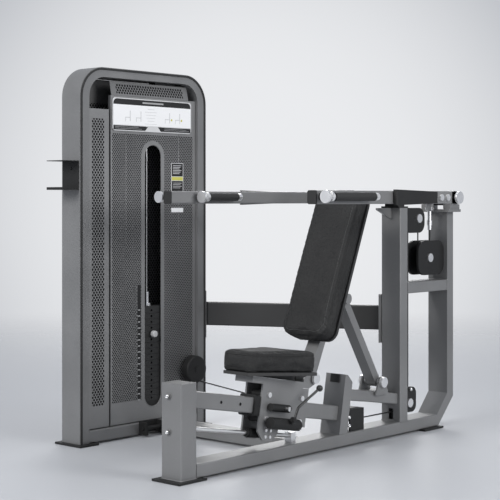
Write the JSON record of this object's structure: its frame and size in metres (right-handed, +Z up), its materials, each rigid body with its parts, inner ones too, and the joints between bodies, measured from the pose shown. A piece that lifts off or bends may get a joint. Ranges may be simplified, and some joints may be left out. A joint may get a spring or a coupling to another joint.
{
  "type": "multi press machine",
  "caption": "Gym multi-press machine: weight tower at one side, sliding seat with linked reclining backrest, and pivoting press arms on a floor frame.",
  "frame": {"origin": "under the middle of the front post, on the floor", "axes": "X to the seated user's left, Y rearward along the base rail, Z up"},
  "size_m": [1.34, 1.756, 1.547],
  "materials": {
    "powder_coat": "satin metallic grey powder coat",
    "black_steel": "satin black",
    "perforated_panel": "matt dark grey, perforated",
    "black_plastic": "moulded, matt",
    "chrome": "polished",
    "rubber": "matt",
    "stack_plate": "black painted",
    "pin_handle": "pale moulded",
    "placard_face": "printed",
    "vinyl": "grained charcoal vinyl",
    "cable_steel": "nylon coated"
  },
  "bodies": {
    "root": {"accessory_holder": "black_steel", "base_rail": "powder_coat", "brace": "powder_coat", "cable_guards": "black_steel", "floor_tubes": "powder_coat", "foot_plates": "black_steel", "frame_crossbar": "powder_coat", "frame_fasteners": "powder_coat", "frame_shafts": "chrome", "front_panels": "perforated_panel", "front_post": "powder_coat", "guide_rod_set": "chrome", "guide_rods": "chrome", "instruction_plates": "placard_face", "lower_pulley_cover": "black_plastic", "main_column": "powder_coat", "mid_beam": "powder_coat", "pivot_bearings": "powder_coat", "rear_column": "powder_coat", "rear_panel": "perforated_panel", "rear_post": "powder_coat", "rubber_stops": "rubber", "seat_rail": "powder_coat", "stack_bumpers": "rubber", "steel_cable": "cable_steel", "top_deck": "perforated_panel", "tower_frame": "powder_coat", "tower_pulley_set": "black_steel", "tower_trim": "black_plastic", "upper_pulley_cover": "black_plastic", "weight_plates": "stack_plate"},
    "press_arm": {"arm_bars": "powder_coat", "arm_yoke": "black_steel", "arm_covers": "black_steel", "arm_chrome": "chrome", "grips_and_plugs": "rubber", "handle_bars": "chrome", "handle_brackets": "black_steel", "cable_swivel": "chrome"},
    "stack": {"lifted_plates": "stack_plate", "selector_stem": "chrome"},
    "selector_pin": {"selector_pin": "pin_handle"},
    "carriage": {"carriage_plates": "powder_coat", "carriage_rollers": "black_plastic", "carriage_pins": "chrome", "seat_support": "powder_coat", "seat_board": "black_plastic", "seat_pad": "vinyl", "rail_bushings": "black_plastic", "lock_housing": "black_plastic"},
    "pop_pin": {"pop_pin": "chrome"},
    "release_lever": {"release_lever": "chrome"},
    "backrest": {"back_support": "powder_coat", "back_board": "black_plastic", "back_pad": "vinyl"},
    "recline_link": {"recline_link": "powder_coat"},
    "head_pulley": {"head_pulley": "black_plastic"},
    "lower_head_pulley": {"lower_head_pulley": "black_plastic"},
    "foot_pulley": {"foot_pulley": "black_plastic"}
  },
  "joints": [
    {"name": "press_arm_lift", "type": "hinge", "parent": "root", "child": "press_arm", "pos_m": [0, 1.69, 1.008], "axis": [-1, 0, 0], "range_deg": [0, 40]},
    {"name": "stack_lift", "type": "slide", "parent": "root", "child": "stack", "axis": [0, 0, 1], "range_m": [0, 0.124]},
    {"name": "selector_pin_pull", "type": "slide", "parent": "stack", "child": "selector_pin", "axis": [1, 0, 0], "range_m": [0, 0.06]},
    {"name": "seat_slide", "type": "slide", "parent": "root", "child": "carriage", "axis": [0, -0.9848, 0.1736], "range_m": [-0.08, 0.2]},
    {"name": "back_recline", "type": "hinge", "parent": "carriage", "child": "backrest", "pos_m": [0, 0.744, 0.298], "axis": [1, 0, 0], "range_deg": [-23, 9.3]},
    {"name": "link_swing", "type": "hinge", "parent": "root", "child": "recline_link", "pos_m": [0, 1.19, 0.24], "axis": [1, 0, 0], "range_deg": [-6.3, 15.7]},
    {"name": "release_lever_pull", "type": "hinge", "parent": "carriage", "child": "release_lever", "pos_m": [0.106, 0.545, 0.165], "axis": [1, 0, 0], "range_deg": [0, 15], "stiffness_Nm_per_rad": 3, "springref_deg": -11.46},
    {"name": "pop_pin_slide", "type": "slide", "parent": "carriage", "child": "pop_pin", "axis": [1, 0, 0], "range_m": [0, 0.0058]},
    {"name": "head_pulley_spin", "type": "hinge", "parent": "root", "child": "head_pulley", "pos_m": [0, 1.477, 0.92], "axis": [1, 0, 0], "range_deg": [-93, 0]},
    {"name": "lower_head_pulley_spin", "type": "hinge", "parent": "root", "child": "lower_head_pulley", "pos_m": [0, 1.56, 0.747], "axis": [1, 0, 0], "range_deg": [0, 79]},
    {"name": "foot_pulley_spin", "type": "hinge", "parent": "root", "child": "foot_pulley", "pos_m": [0, 1.408, 0.128], "axis": [1, 0, 0], "range_deg": [0, 114]}
  ],
  "couplings": [
    {"joint": "stack_lift", "follows": "press_arm_lift", "m_per_rad": 0.176},
    {"joint": "back_recline", "follows": "seat_slide", "rad_per_m": -2},
    {"joint": "link_swing", "follows": "seat_slide", "rad_per_m": 1.36},
    {"joint": "pop_pin_slide", "follows": "release_lever_pull", "m_per_rad": 0.022},
    {"joint": "head_pulley_spin", "follows": "press_arm_lift", "ratio": -2.32},
    {"joint": "lower_head_pulley_spin", "follows": "press_arm_lift", "ratio": 1.96},
    {"joint": "foot_pulley_spin", "follows": "press_arm_lift", "ratio": 2.84}
  ]
}
